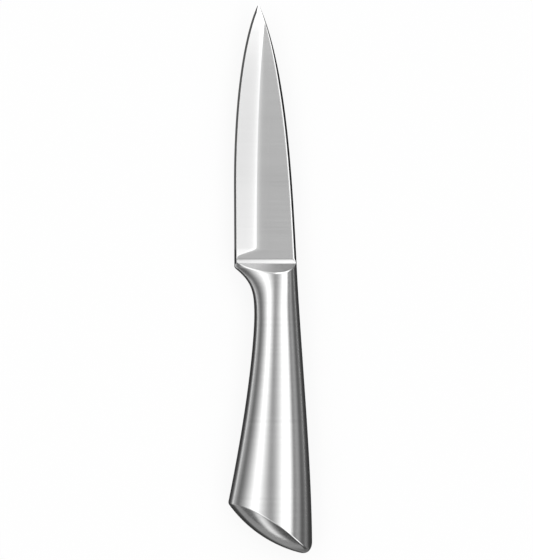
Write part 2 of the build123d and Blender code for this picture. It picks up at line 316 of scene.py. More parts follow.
def quarter_frame(y, spine_side, inset):
    """Control values of a section's quarter at a station: places of the side, of its handle at
    the crest and of the crest, then the height of the handle at the side and the half height."""
    belly_crest, belly_side, spine_crest, spine_edge = reaches(y)
    side = np.where(spine_side, spine_x(y) - inset, edge_x(y) + inset)
    crest = crest_line(y)
    half = half_thickness(y) - inset
    handle = crest + np.where(spine_side, spine_crest, belly_crest) * (side - crest)
    return side, handle, crest, np.where(spine_side, spine_edge, belly_side) * half, half


def quarter(t, y, spine_side, inset):
    """Cubic quarter of the section: from the side, t=0, to the crest, t=1."""
    side, handle, crest, low, half = quarter_frame(y, spine_side, inset)
    return cubic((side, side, handle, crest), t), cubic((0, low, half, half), t)


def form(s, y, inset=0.0):
    """Point of the handle's form, drawn in by an inset."""
    s, y = np.broadcast_arrays(np.asarray(s, float), np.asarray(y, float))
    s = np.mod(s, 4)
    under = s > 2
    s = np.where(under, 4 - s, s)
    x, z = quarter(np.where(s > 1, 2 - s, s), y, s > 1, inset)
    return np.stack([x, y, np.where(under, -z, z)], -1)


def share_at_height(z, y, spine_side, inset=0.0):
    """Share t of a quarter where its height is z, by Newton's rule."""
    _, _, _, low, half = quarter_frame(np.asarray(y, float), spine_side, inset)
    t = np.clip(z / (3 * low), 0, 0.9)
    for _ in range(9):
        slope = 3 * ((1 - t) ** 2 * low + 2 * (1 - t) * t * (half - low))
        t = np.clip(t - (cubic((0, low, half, half), t) - z) / slope, 0, 0.97)
    return t


def form_x(z, y, spine_side):
    """Place of the form's side at a height z."""
    return quarter(share_at_height(z, y, spine_side), y, spine_side, 0.0)[0]


print("handle at station -90:", np.round(form([0.0, 1.0, 2.0], -90.0), 2).tolist())

# %% [markdown]
# ## The blade
#
# A real blade of this kind is a flat blank, 2 mm thick, with a long bevel ground on each side
# and a short, steeper one that makes the edge. The long bevel is a little hollow, because it is
# ground on a wheel, which is why it brightens towards the grind line. At the heel the wheel lifts
# and the bevel runs out in a slant, the plunge, into the full thickness of the blank. The flat
# is rolled over a little beside the grind line, and the spine is rounded over. Drawing this as a
# profile carried along the blade keeps each of these crisp, which a subdivided box would not.

# %% Numbers of the grind
BEVEL_START, BEVEL_END = GRIND_START[0], GRIND_END[0]
PLUNGE_RUN, PLUNGE_SOFT, RUN_OUT = 3.6, 0.32, 0.96
EDGE_WIDTH, EDGE_HALF = 0.78, 0.22
SPINE_ROUND, EDGE_SHARE, SPINE_SHARE = 1.5, 0.3, 0.1
HOLLOW, ROLL, ROLL_WIDTH = 0.09, 0.1, 6.0
LEAST = 1e-3
FILLET = 2.7
BEAD_END = -FILLET * np.sin(np.pi / 4)
BEAD_HEIGHT = BLADE_HALF + FILLET * (1 - np.cos(np.pi / 4))
print("bead reaches back to", round(BEAD_END, 2), "and up to", round(BEAD_HEIGHT, 2))


def flat_half(y):
    """Half thickness of the blank: even to the plunge, then tapering to the tip."""
    share = np.clip((y - BEVEL_START) / (BEVEL_END - BEVEL_START), 0, None)
    return (BLADE_THICKNESS + share * (TIP_THICKNESS - BLADE_THICKNESS)) / 2


def plunge(y):
    """How far the bevel has run out: 0 on the blade, nearly 1 at the bolster. It is a straight
    ramp whose ends are rounded by parabolas over a share of its length."""
    t = np.clip((BEVEL_START - y) / PLUNGE_RUN, 0, 1)
    soft = PLUNGE_SOFT
    start = t**2 / (2 * soft)
    end = 1 - soft - (1 - t) ** 2 / (2 * soft)
    ramp_share = np.where(t < soft, start, np.where(t > 1 - soft, end, t - soft / 2))
    return RUN_OUT * ramp_share / (1 - soft)


def into_bolster(y):
    """How far the blade's rounded sides have taken the bolster's form: 1 at the bead's rear."""
    plunge_end = BEVEL_START - PLUNGE_RUN
    return smoothstep(np.clip((plunge_end - y) / (plunge_end - BEAD_END), 0, 1))


def blade_stations(v):
    """Station for a share v from the bead's rear to the tip."""
    return BEAD_END + v * (BLADE_LENGTH - BEAD_END)


def bevel_frame(y):
    """The bevel's key places at a station: edge, end of the edge bevel, grind line, start of the
    spine's rounding and spine, then the heights at the second, third and fourth of them."""
    edge, spine = edge_x(y), spine_x(y)
    width = spine - edge
    rise = plunge(y)
    flat = flat_half(y)
    edge_width = np.minimum(EDGE_WIDTH, EDGE_SHARE * width)
    edge_half = np.minimum(EDGE_HALF, EDGE_HALF * edge_width / EDGE_WIDTH)
    edge_half = edge_half + rise * (flat - edge_half)
    bevel_x = edge + edge_width
    round_x = spine - np.minimum(SPINE_ROUND, SPINE_SHARE * width)
    open_x = np.maximum(bevel_x + (1 - rise) * (grind_line(y) - bevel_x), bevel_x + LEAST)
    grind_x = np.minimum(open_x, round_x - LEAST)
    share = (grind_x - bevel_x) / (open_x - bevel_x)
    line_half = flat - ROLL * (1 - rise)
    top = edge_half + share * (line_half - edge_half)
    upper = top + (flat - line_half) * np.clip((round_x - grind_x) / ROLL_WIDTH, 0, 1)
    return edge, bevel_x, grind_x, round_x, spine, edge_half, top, upper, rise


# %% The blade's bands, from the edge to the spine
def edge_band(u, v):
    """Edge bevel: straight on the blade, turning into a rounded shoulder at the plunge, and
    into the bolster's side over the bead."""
    y = blade_stations(v)
    edge, bevel_x, _, _, _, edge_half, _, _, rise = bevel_frame(y)
    height = (1 - rise) * u + rise * np.sqrt(np.clip(1 - (1 - u) ** 2, 0, 1))
    z = edge_half * height
    x = edge + u * (bevel_x - edge)
    blend = into_bolster(y)
    return np.stack([x + blend * (form_x(z, y, False) - x), y, z], -1)


def bevel_band(u, v):
    """Long bevel: (1 - h) u + h u^6 of the way up, nearly straight but steeper near the grind
    line, where the wheel's rim has cut in. The hollow h is gone at the plunge."""
    y = blade_stations(v)
    _, _, grind_x, _, _, edge_half, top, _, rise = bevel_frame(y)
    hollow = HOLLOW * (1 - rise)
    z = edge_half + ((1 - hollow) * u + hollow * u**6) * (top - edge_half)
    start = edge_band(np.ones_like(u), v)[..., 0]
    return np.stack([start + u * (grind_x - start), y, z], -1)


def flat_band(u, v):
    """The blank's flat side. Next to the grind line it is rolled over a little by the buffing
    wheel: the height there is short of the flat by a fifth power that fades to nothing."""
    y = blade_stations(v)
    _, _, grind_x, round_x, _, _, top, upper, _ = bevel_frame(y)
    end = spine_band(np.zeros_like(u), v)[..., 0]
    width = np.minimum(ROLL_WIDTH, round_x - grind_x)
    fade = np.clip(1 - u * (round_x - grind_x) / width, 0, 1) ** 5
    return np.stack([grind_x + u * (end - grind_x), y, upper - (upper - top) * fade], -1)


def spine_band(u, v):
    """Rounded spine, which takes the bolster's side over the bead. A share q of the way out its
    height is the square root of 1 - q^3, fuller than an ellipse: q = 1 - (1 - u)^2."""
    y = blade_stations(v)
    _, _, _, round_x, spine, _, _, upper, _ = bevel_frame(y)
    q = 1 - (1 - u) ** 2
    x = round_x + (spine - round_x) * q
    z = upper * np.sqrt(1 - q**3)
    blend = into_bolster(y)
    return np.stack([x + blend * (form_x(z, y, True) - x), y, z], -1)


# %% Put the blade together
# From this share of the spine's rounding outwards the blade takes the near-black steel, painted
# shade for its dark outline.
DARK_SHADE_FROM = 0.29
root_y = [BEAD_END, -1.6, -1.3, -1.0, -0.7, -0.4, -0.15, 0.0, 0.15, 0.3]
plunge_y, long_y = np.linspace(0.45, 4.2, 26), np.linspace(4.6, BLADE_LENGTH, 190)
blade_v = (np.concatenate([root_y, plunge_y, long_y]) - BEAD_END) / (BLADE_LENGTH - BEAD_END)
bands = [
    patch(edge_band, 1 - np.sin(np.linspace(0, np.pi / 2, 10))[::-1], blade_v),
    patch(bevel_band, even(25), blade_v),
    patch(flat_band, even(21) ** 1.6, blade_v),
    patch(spine_band, np.linspace(0, DARK_SHADE_FROM, 8), blade_v),
    patch(spine_band, np.linspace(DARK_SHADE_FROM, 1, 12), blade_v),
]


def facing(grid, direction):
    """Gives a flat grid of points one normal."""
    return grid, np.broadcast_to(np.array(direction, float), grid.shape)


def down_to_mirror(upper, normal):
    """Flat patch from a row of points on the left straight down to its mirror image."""
    return facing(np.stack([upper * [1, 1, -1], upper], 1), normal)


def slab_patches(low, high):
    """The six faces of a box, each one quad that runs over the next two axes."""
    ends, made = np.array([low, high], float), []
    for axis in range(3):
        u, v = (axis + 1) % 3, (axis + 2) % 3
        for side in (0, 1):
            grid = np.zeros((2, 2, 3))
            grid[..., axis] = ends[side, axis]
            grid[..., u], grid[..., v] = ends[:, None, u], ends[None, :, v]
            made.append(facing(grid if side else grid[::-1], np.eye(3)[axis] * (2 * side - 1)))
    return made


REAR, FRONT = (0, -1, 0), (0, 1, 0)
TANG_LOW, TANG_HIGH = (-1.6, -20.0, -1.0), (6.2, BEAD_END - 0.02, 1.0)
rear = [down_to_mirror(points[:, 0], REAR) for points, _ in bands]
tip = [down_to_mirror(points[::-1, -1], FRONT) for points, _ in bands]
tang = slab_patches(TANG_LOW, TANG_HIGH)
left_and_right = [*bands, *map(mirrored, bands)]
SATIN, DARK_SHADE_SLOT, GROUND = 0, 1, 2
# The edge bevel and the outer part of the spine take the near-black steel: painted shade that draws
# the dark line round the blade.
band_slots = [DARK_SHADE_SLOT, GROUND, SATIN, SATIN, DARK_SHADE_SLOT]
ends_and_tang = [*rear, *tip, *tang]
blade = steel_body(
    "steel_blade",
    [*left_and_right, *ends_and_tang],
    [*band_slots, *band_slots, *[SATIN] * len(ends_and_tang)],
)

# %% [markdown]
# ## The weld beads at the blade's root
#
# The blade's tang is pushed into the bolster and the joint is welded on both sides. The beads
# are then ground to a hollow curve that leaves the blade level and climbs to 45 degrees. In the
# photograph that curve is the bright line across the root of the blade. It is an eighth of a
# turn, swept across the knife, so an arc times a straight line is all it needs.


# %% Two beads with a hollow face
def ramp_height(y):
    """Height of the bead and of the slope behind it: a circle's arc, then 45 degrees."""
    arc = BLADE_HALF + FILLET - np.sqrt(np.clip(FILLET**2 - y**2, 0, None))
    return np.where(y > BEAD_END, arc, BEAD_HEIGHT + BEAD_END - y)


def bead_station(v):
    """Station on the bead for a share v, from its rear to its toe."""
    return BEAD_END * (1 - v)


def side_x(z, y, spine_side):
    """Side of the blade at its full height, carried up to z along the bolster's form."""
    band, end = (spine_band, 0.0) if spine_side else (edge_band, 1.0)
    v = (y - BEAD_END) / (BLADE_LENGTH - BEAD_END)
    blade_x = band(np.full_like(y, end), v)[..., 0]
    blend = into_bolster(y)
    foot = form_x(blade_height(y), y, spine_side)
    return blade_x + blend * (form_x(z, y, spine_side) - foot)


def across_bead(u, y, z):
    """Point a share u of the way from the bead's edge side to its spine side."""
    left, right = side_x(z, y, False), side_x(z, y, True)
    return np.stack([left + u * (right - left), y, z], -1)


def bead_face(height):
    """Face of straight lines across the bead, at a height that follows from the station."""

    def shape(u, v):
        y = bead_station(v)
        return across_bead(u, y, height(y))

    return shape


def blade_height(y):
    """Height of the blade's face, on which the bead lies."""
    return np.full_like(y, BLADE_HALF)


def bead_side(spine_side):
    """Side of the bead, from the blade's face up to the hollow face."""

    def shape(u, v):
        y = bead_station(v)
        z = BLADE_HALF + u * (ramp_height(y) - BLADE_HALF)
        return np.stack([side_x(z, y, spine_side), y, z], -1)

    return shape


def bead_rear(u, v):
    """Rear face, against the bolster."""
    z = BLADE_HALF + v * (BEAD_HEIGHT - BLADE_HALF)
    return across_bead(u, np.full_like(u, BEAD_END), z)


bead_u, bead_v, bead_w = even(49), even(13), even(7)
bead = [
    patch(bead_face(ramp_height), bead_u, bead_v),
    patch(bead_side(False), bead_w, bead_v),
    patch(bead_side(True), bead_w, bead_v, flip=True),
    patch(bead_face(blade_height), bead_u, bead_v, flip=True),
    patch(bead_rear, bead_u, bead_w),
]
root_weld = steel_body("root_weld", [*bead, *map(mirrored, bead)])

# %% [markdown]
# ## The bolster
#
# The bolster is a solid casting that carries the form of the handle up to the blade. Its front
# is cut off by the slope, and where slope and form meet there is a soft crest, buffed over. So
# the first thing to find is that crest: for each share round the section, the station where the
# form is as high as the slope. The form's patch starts a little behind the crest, the slope's
# patch a little in front, and a narrow cubic strip rounds the way between them.

# %% Where the slope meets the form
NECK_END = -16.0
CREST_ARM, SLOPE_SHARE, ROOM_SHARE = 0.42, 0.7, 0.6


def crest_station(s):
    """Station where the slope has risen as high as the form, for shares on the left side."""
    low = np.full_like(s, BEAD_END)
    return halve(low, low - 8, lambda y: form(s, y)[..., 2] < ramp_height(y))


def share_of_crest(spine_side):
    """Share s at which the crest begins: where the form's side reaches the bead's height."""
    t = share_at_height(BEAD_HEIGHT, BEAD_END, spine_side)
    return float(2 - t if spine_side else t)


CREST_FIRST, CREST_LAST = share_of_crest(False), share_of_crest(True)
print("crest runs over shares", round(CREST_FIRST, 3), "to", round(CREST_LAST, 3))


def crest_share(u):
    """Share s for a share u along the crest, with more of them near both ends."""
    return CREST_FIRST + (CREST_LAST - CREST_FIRST) * denser_ends(u)


def crest_arm(u):
    """Half width of the crest's rounding: full over most of it, nothing at both ends."""
    return CREST_ARM * np.sqrt(np.clip(1 - (2 * u - 1) ** 8, 0, 1))


def slope_room(u):
    """Length of the slope from its crest to its foot, and how much of it the rounding takes."""
    length = BEAD_END - crest_station(crest_share(u[:, :1]))
    return length, np.minimum(crest_arm(u) * SLOPE_SHARE, length * ROOM_SHARE)


def behind_crest(u, back):
    """Point of the form, a way back from the crest."""
    s = crest_share(u)
    return form(s, crest_station(s[:, :1]) - back)


def slope_point(u, forward):
    """Point of the slope, a way forward of the crest, never past the slope's foot."""
    s = crest_share(u[:, :1])
    y = crest_station(s)
    x = form(s, y)[..., 0] + 0 * u
    y = np.minimum(y + forward, BEAD_END)
    return np.stack([x, y, ramp_height(y)], -1)


def slope_face(u, v):
    """Slope in front of the crest: lines along the knife, down to the bead."""
    length, arm = slope_room(u)
    return slope_point(u, arm + v * (length - arm))


def crest_rounding(u, v):
    """Cubic strip over the crest, from the form to the slope, leaving each along its own face."""
    length, arm = slope_room(u)
    peak = slope_point(u, 0 * u)
    start, end = behind_crest(u, np.minimum(crest_arm(u), length)), slope_point(u, arm)
    v = v[..., None]
    return cubic((start, start + 0.6 * (peak - start), end + 0.6 * (peak - end), end), v)


CROWN_MIDDLE, CROWN_HALF_WIDTH, CROWN_LEAN = -1.6, 10.0, 0.09


def crowned(one_patch):
    """Tilts the normals of the hand-buffed slope outwards, in proportion to the distance from
    its middle, as on a face that is crowned by a few hundredths of a millimetre."""
    points, normals = one_patch
    away = (points[..., :1] - CROWN_MIDDLE) / CROWN_HALF_WIDTH
    return points, unit(normals + away * CROWN_LEAN * np.array([1.0, 0.0, 0.0]))


# %% The bolster's patches
def bolster_form(first, last, front):
    """Form between two shares s, from the front function's station back to the neck's end."""

    def shape(u, v):
        s = first + u * (last - first) if last is not None else crest_share(u)
        y_front = front(u[:, :1])
        return form(s, y_front + v * (NECK_END - y_front))

    return shape


def crest_front(u):
    """Station where the form's patch begins behind the crest."""
    y = crest_station(crest_share(u))
    return y - np.minimum(crest_arm(u), BEAD_END - y)


def bead_front(u):
    """Station of the bead's rear, where the form's patches beside the crest begin."""
    return np.full_like(u, BEAD_END)


crest_u = even(97)
side_u = even(13)
length_v = even(46) ** 1.3
bolster_left = [
    patch(bolster_form(0, CREST_FIRST, bead_front), side_u, length_v, flip=True),
    patch(bolster_form(0, None, crest_front), crest_u, length_v, flip=True),
    patch(bolster_form(CREST_LAST, 2, bead_front), side_u, length_v, flip=True),
    patch(crest_rounding, crest_u, even(9)),
    crowned(patch(slope_face, crest_u, even(9))),
]
side_shares = [
    CREST_FIRST * side_u,
    crest_share(crest_u),
    CREST_LAST + (2 - CREST_LAST) * side_u,
]
SPIGOT_INSET, SPIGOT_END = 1.1, -22.0


def spigot(shares):
    """The drawn-in form behind the neck, which the shells are pushed over."""
    steps = even(len(shares))

    def shape(u, v):
        y = NECK_END + v * (SPIGOT_END - NECK_END)
        return form(np.interp(u, steps, shares), y, SPIGOT_INSET)

    return patch(shape, steps, even(9), flip=True)


bolster_flat = []
for shares in side_shares:
    inner, outer = form(shares, NECK_END, SPIGOT_INSET), form(shares, NECK_END)
    bolster_left += [facing(np.stack([inner, outer], 1), REAR), spigot(shares)]
    bolster_flat.append(down_to_mirror(form(shares, SPIGOT_END, SPIGOT_INSET), REAR))
crest_row = slope_face(crest_u[:, None], np.ones((len(crest_u), 1)))[:, 0]
front_rows = [form(side_shares[0], BEAD_END), crest_row, form(side_shares[2], BEAD_END)]
bolster_flat += [down_to_mirror(row[::-1], FRONT) for row in front_rows]
bolster = steel_body("cast_bolster", [*bolster_left, *map(mirrored, bolster_left), *bolster_flat])

# %% [markdown]
# ## The hollow handle
#
# Behind the bolster the handle is two pressed half shells, 1 mm thick. They are welded to the
# bolster, to each other along the spine and the belly, and to a domed cap at the butt, and then
# everything is ground flush. Nothing of the welds shows on the real knife but a trace in the
# brushing, so each piece here is a wall between the same outer form and the same form drawn in.
# A wall has two faces and up to four rims, all from one function of three parameters.


# %% A wall between two surfaces
def wall_patches(outer, inner, u, v, ring=False):
    """Patches of a wall: outer and inner surface, the rims where v starts and ends, and unless
    the wall is a closed ring, the rims where u starts and ends."""
    thickness = np.array([0.0, 1.0])

    def between(u, v, w):
        return mix(outer(u, v), inner(u, v), w)

    made = [
        patch(outer, u, v, flip=True),
        patch(inner, u, v),
        patch(lambda u, w: between(u, 0 * u, w), u, thickness),
        patch(lambda u, w: between(u, 0 * u + 1, w), u, thickness, flip=True),
    ]
    if not ring:
        made.append(patch(lambda v, w: between(0 * v, v, w), v, thickness, flip=True))
        made.append(patch(lambda v, w: between(0 * v + 1, v, w), v, thickness))
    return made


# %% The butt's end face
ARC_RADIUS, NOSE_RADIUS, CAP_DEPTH = 43.84, 5.4, 2.0
WALL, SEAM_HALF, RING_END = 1.0, 0.8, -17.6
belly_corner, spine_corner = np.array(BELLY_CORNER[::-1]), np.array(SPINE_CORNER[::-1])
chord = spine_corner - belly_corner
across_chord = np.array([-chord[1], chord[0]]) / np.linalg.norm(chord)
rise = np.sqrt(ARC_RADIUS**2 - (np.linalg.norm(chord) / 2) ** 2)
ARC_CENTRE = (belly_corner + spine_corner) / 2 + rise * across_chord
print("centre of the butt's arc:", np.round(ARC_CENTRE, 3))


def end_face(angle, z, depth=0.0):
    """Point of the end face: an arc in plan, whose radius drops by z^2 / (2 x nose radius)."""
    radius = ARC_RADIUS - depth - z**2 / (2 * NOSE_RADIUS)
    x = ARC_CENTRE[0] + radius * np.cos(angle)
    return np.stack([x, ARC_CENTRE[1] + radius * np.sin(angle), z + 0 * x], -1)


def end_station(point_at, depth, like):
    """Station where a line of the handle, given as a function of y, reaches the end face."""

    def outside(y):
        x, y, z = np.moveaxis(point_at(y), -1, 0)
        away = np.hypot(x - ARC_CENTRE[0], y - ARC_CENTRE[1])
        return away > ARC_RADIUS - depth - z**2 / (2 * NOSE_RADIUS)

    return halve(np.full_like(like, -70.0), np.full_like(like, -110.0), outside)


EDGE_ARM, SPINE_ARM, SPINE_SPREAD = 0.25, 4.35, 3.6
BELLY_ARM, BELLY_SPREAD, ROUNDING_GAP = 0.35, 1.0, 0.2


def butt_arm(point):
    """Length of the arms of the butt's rounding at a point of its edge: long near the middle
    plane at the spine, and short everywhere else."""
    x, y, z = np.moveaxis(point, -1, 0)
    at_spine = SPINE_ARM * np.exp(-((z / SPINE_SPREAD) ** 2))
    at_belly = BELLY_ARM * np.exp(-((z / BELLY_SPREAD) ** 2))
    return EDGE_ARM + np.where(x > crest_line(y), at_spine, at_belly)


def ring_station(point_at, depth, like):
    """Station where the butt's ring of weld begins: at a depth under the end face, or just in
    front of the rounding where that reaches further."""
    edge = end_station(point_at, 0.0, like)
    clear = edge + butt_arm(point_at(edge)) + ROUNDING_GAP
    return np.maximum(end_station(point_at, depth, like), clear)


def seam_share(y, spine_side, inset):
    """Share t of a quarter at the edge of the seam weld."""
    return share_at_height(SEAM_HALF, y, spine_side, inset)


def left_shell(u, y, inset):
    """Left shell: from the belly's seam over the crest to the spine's seam."""
    first, last = seam_share(y, False, inset), 2 - seam_share(y, True, inset)
    return form(first + u * (last - first), y, inset)


def spine_seam(u, y, inset):
    """Strip of weld along the spine."""
    half = seam_share(y, True, inset)
    return form(2 - half + 2 * u * half, y, inset)


def belly_seam(u, y, inset):
    """Strip of weld along the belly."""
    half = seam_share(y, False, inset)
    return form(2 * u * half - half, y, inset)


def full_round(u, y, inset=0.0):
    """All the way round the form."""
    return form(4 * u, y, inset)


def run(section, inset, front_depth=None):
    """Surface of a section that ends where the butt's ring begins. It starts behind the
    bolster's ring, or at a depth under the end face where one is given."""

    def shape(u, v):
        one = u[:, :1]
        point_at = lambda y: section(one, y, inset)
        rear = ring_station(point_at, CAP_DEPTH, one)
        front = RING_END if front_depth is None else end_station(point_at, front_depth, one)
        return section(u, front + v * (rear - front), inset)

    return shape


# %% The shells and the seams between them
shell_u, handle_v, seam_u = denser_ends(even(97)), even(141), even(9)


def long_wall(section, u):
    """Wall of a section along the whole handle."""
    return wall_patches(run(section, 0.0), run(section, WALL), u, handle_v)


shell = long_wall(left_shell, shell_u)
shell_left = steel_body("shell_left", shell)
shell_right = steel_body("shell_right", [mirrored(one) for one in shell])
spine_weld = steel_body("spine_weld", long_wall(spine_seam, seam_u))
belly_weld = steel_body("belly_weld", long_wall(belly_seam, seam_u))

# %% The ring of weld behind the bolster
half_round = np.concatenate([shares[1:] for shares in side_shares])
neck_u = np.concatenate([[0.0], half_round, 4 - half_round[::-1][1:], [4.0]]) / 4


def neck_ring(inset):
    """Short stretch of the form between the bolster and the shells."""
    return lambda u, v: full_round(u, NECK_END + v * (RING_END - NECK_END), inset)


neck_wall = wall_patches(neck_ring(0.0), neck_ring(WALL), neck_u, even(5), ring=True)
neck_weld = steel_body("neck_weld", neck_wall)

# %% [markdown]
# ## The butt
#
# The end of the handle is a slanted dome: an arc in plan that turns over a blunt nose from side
# to side. Where it meets the handle's form there is an edge, broken only a little by the buffing
# wheel, but at the spine corner it opens into a generous round. So the edge gets a cubic strip
# whose arms follow the height: short over the sides, long where the edge runs through the
# middle plane. The shells and seams stop just in front of it. The dome inside is drawn from the
# edge straight in to one point, in the end face's own angle and height, so it lies on the true
# surface everywhere.

# %% The edge of the butt and its rounding
MIDDLE_ANGLE = np.radians(-121.0)
RIM, REACH_STEP, ARM_SHARE = 0.8, 0.02, 0.55
LIP_OUTER, LIP_INNER, LIP_DEPTH = 1.08, 1.98, 6.0


def butt_edge(u, depth=0.0, inset=0.0):
    """Station, angle and height of the edge where form and end face meet."""
    y = end_station(lambda y: full_round(u, y, inset), depth, u)
    point = full_round(u, y, inset)
    angle = np.arctan2(point[..., 1] - ARC_CENTRE[1], point[..., 0] - ARC_CENTRE[0])
    return y, angle, point[..., 2]


def inward(edge, q, depth=0.0):
    """Point of the end face a share q of the way from the edge to its middle."""
    _, angle, z = edge
    return end_face(angle + q * (MIDDLE_ANGLE - angle), z * (1 - q), depth)


def butt_frame(u):
    """For one row round the butt: the edge, the arms, and the shares q of the rounding's end
    and of the cap's rim."""
    edge = butt_edge(u)
    arm = butt_arm(full_round(u, edge[0]))
    step = inward(edge, REACH_STEP) - inward(edge, 0.0)
    reach = np.linalg.norm(step, axis=-1) / REACH_STEP
    return edge, arm, arm / reach, (arm + RIM) / reach


def butt_side(u, v):
    """Outer surface of the butt's ring, up to the rounding."""
    one = u[:, :1]
    edge, arm, _, _ = butt_frame(one)
    start = ring_station(lambda y: full_round(one, y), CAP_DEPTH, one)
    return full_round(u, start + v * (edge[0] + arm - start))


def butt_rounding(u, v):
    """Cubic strip from the form over the edge to the end face, leaving each along its own face."""
    one = u[:, :1]
    edge, arm, q, _ = butt_frame(one)
    a, b = full_round(one, edge[0] + arm), inward(edge, q)
    from_form = unit(full_round(one, edge[0] + arm - 0.01) - a)
    from_face = unit(inward(edge, q * 0.99) - b)
    reach = ARM_SHARE * arm[..., None]
    return cubic((a, a + reach * from_form, b + reach * from_face, b), v[..., None])


def butt_rim(u, v):
    """Rim of the end face, between the rounding and the cap."""
    edge, _, q, rim = butt_frame(u[:, :1])
    return inward(edge, q + v * (rim - q))


def cap_dome(u, v):
    """Outer face of the cap, from its rim to the middle."""
    edge, _, _, rim = butt_frame(u[:, :1])
    return inward(edge, rim + v * (1 - rim))


def cap_under(u, v):
    """Inner face of the cap."""
    return inward(butt_edge(u[:, :1], CAP_DEPTH, WALL), v + 0 * u, CAP_DEPTH)


def ring_wall(u, v):
    """Joint between the ring of weld and the cap."""
    return mix(butt_rim(u, 0 * v + 1), cap_under(u, 0 * v), v)


def ring_front(u, v):
    """Front face of the ring of weld, against the shells."""
    return mix(cap_under(u, 0 * v), butt_side(u, 0 * v), v)


# %% Put the butt together
butt_u, cap_v = even(321), even(41)
ring_rows = {butt_side: 7, butt_rounding: 13, butt_rim: 4, ring_wall: 3, ring_front: 3}
ring = [patch(shape, butt_u, even(rows), flip=True) for shape, rows in ring_rows.items()]
butt_weld = steel_body("butt_weld", ring)
dome = patch(cap_dome, butt_u, cap_v, flip=True)
cap_inside = [patch(cap_under, butt_u, cap_v), patch(ring_wall, butt_u, even(3))]
lip_faces = [run(full_round, inset, front_depth=LIP_DEPTH) for inset in (LIP_OUTER, LIP_INNER)]
lip = wall_patches(*lip_faces, even(257), even(3), ring=True)
cap = steel_body("butt_dome", [dome, *cap_inside, *lip])

# %% [markdown]
# ## Each piece stands for its CAD node
#
# The fine surfaces stand in the places of the imported solids and ride on the knife's one body.

# %% Tie the pieces to the frame
stands_for = {
    "blade": (blade, "blade_steel"),
    "blade_weld": (root_weld, "weld_steel"),
    "bolster": (bolster, "handle_steel"),
    "bolster_ring_weld": (neck_weld, "weld_steel"),
    "handle_shell_left": (shell_left, "handle_steel"),
    "handle_shell_right": (shell_right, "handle_steel"),
    "spine_seam_weld": (spine_weld, "weld_steel"),
    "belly_seam_weld": (belly_weld, "weld_steel"),
    "butt_ring_weld": (butt_weld, "weld_steel"),
    "butt_cap": (cap, "handle_steel"),
}
for node, (piece, slot) in stands_for.items():
    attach(piece, "root")
    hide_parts(node)
    drawn = np.array([corner[:] for corner in piece.bound_box])
    low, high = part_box(node)
    off = np.abs(np.concatenate([drawn.min(0) - low, drawn.max(0) - high])).max()
    print(f"{piece.name} stands for {node}, boxes differ by {off / MM:.2f} mm at most")

# %% [markdown]
# ## Writing a finish
#
# A finish is a few lines of arithmetic over the surface. One small class wraps a socket and lets
# Python's own operators add the Math nodes.


# %% Arithmetic on sockets
def operator(operation, swapped=False):
    """Method for one of Python's operators, which adds a Math node."""

    def method(self, other):
        return self.math(operation, *((other, self) if swapped else (self, other)))

    return method


class Signal:
    """A value that varies over a surface."""

    def __init__(self, tree, socket):
        self.tree, self.socket = tree, socket

    def math(self, operation, *values):
        inputs = dict(enumerate(values))
        return add_node(self.tree, "ShaderNodeMath", {"operation": operation}, inputs)

    __add__, __radd__ = operator("ADD"), operator("ADD", swapped=True)
    __sub__, __rsub__ = operator("SUBTRACT"), operator("SUBTRACT", swapped=True)
    __mul__, __rmul__ = operator("MULTIPLY"), operator("MULTIPLY", swapped=True)
    __truediv__ = operator("DIVIDE")


def add_node(tree, kind, settings=None, inputs=None, output=0):
    """Adds a node, sets its settings first and then the values or links of its sockets."""
    node = tree.nodes.new(kind)
    for name, value in (settings or {}).items():
        setattr(node, name, value)
    for name, value in (inputs or {}).items():
        if isinstance(value, Signal):
            tree.links.new(value.socket, node.inputs[name])
        else:
            node.inputs[name].default_value = value
    return Signal(tree, node.outputs[output]) if node.outputs else None


def bare_tree(owner):
    """Node tree of a material or a world, with nothing in it yet."""
    owner.use_nodes = True
    owner.node_tree.nodes.clear()
    return owner.node_tree


# %% [markdown]
# ## Steel
#
# Kitchen steel is finished with belts and wheels that run across the piece, so it is covered
# with fine lines from edge to spine. Each line is far narrower than the eye resolves. What shows
# is a few faint stripes where a grain cut deeper, and lamps that smear a little along the knife
# but stay sharp across it. Noise stretched a hundred times across the knife gives both, as a
# bump and as small changes of gloss. The blade has three steels: satin on the flat, a brighter
# one on the long bevel, and a near-black one on the edge bevel and on the outer part of the
# spine. That near-black is painted shade, which draws the thin dark line round the blade.


# %% A brushed steel finish
GRAINS = {"fine": (18.0, 5200.0), "broad": (9.0, 900.0), "soft": (25.0, 60.0)}


def steel(name, grey, gloss, line_depth, streaks):
    """Brushed steel: fine lines across the knife, faint broad changes of tint and gloss. The
    grains are noises, each with its waves per metre across and along the knife."""
    material = bpy.data.materials.new(name)
    tree = bare_tree(material)
    place = add_node(tree, "ShaderNodeTexCoord", output="Object")
    grain = {}
    for label, (across, along) in GRAINS.items():
        stretch = {0: place, 1: (across, along, across)}
        scaled = add_node(tree, "ShaderNodeVectorMath", {"operation": "MULTIPLY"}, stretch)
        noise = {"Vector": scaled, "Scale": 1.0, "Detail": 3.0}
        grain[label] = add_node(tree, "ShaderNodeTexNoise", {}, noise)
    tone = 1.0 + (grain["broad"] - 0.5) * streaks + (grain["soft"] - 0.5) * 0.06
    shade = {0: (grey, grey, grey), "Scale": tone}
    colour = add_node(tree, "ShaderNodeVectorMath", {"operation": "SCALE"}, shade)
    rough = gloss + (grain["fine"] - 0.5) * 0.10 + (grain["soft"] - 0.5) * 0.04
    height = grain["fine"] * 0.6 + grain["broad"] * 0.4
    lines = {"Strength": 1.0, "Distance": line_depth * MM, "Height": height}
    bump = add_node(tree, "ShaderNodeBump", {}, lines)
    metal = {"Base Color": colour, "Metallic": 1.0, "Roughness": rough, "Normal": bump}
    shader = add_node(tree, "ShaderNodeBsdfPrincipled", {}, metal)
    add_node(tree, "ShaderNodeOutputMaterial", {}, {"Surface": shader})
    print("finish", name, "made with", len(tree.nodes), "nodes")
    return material


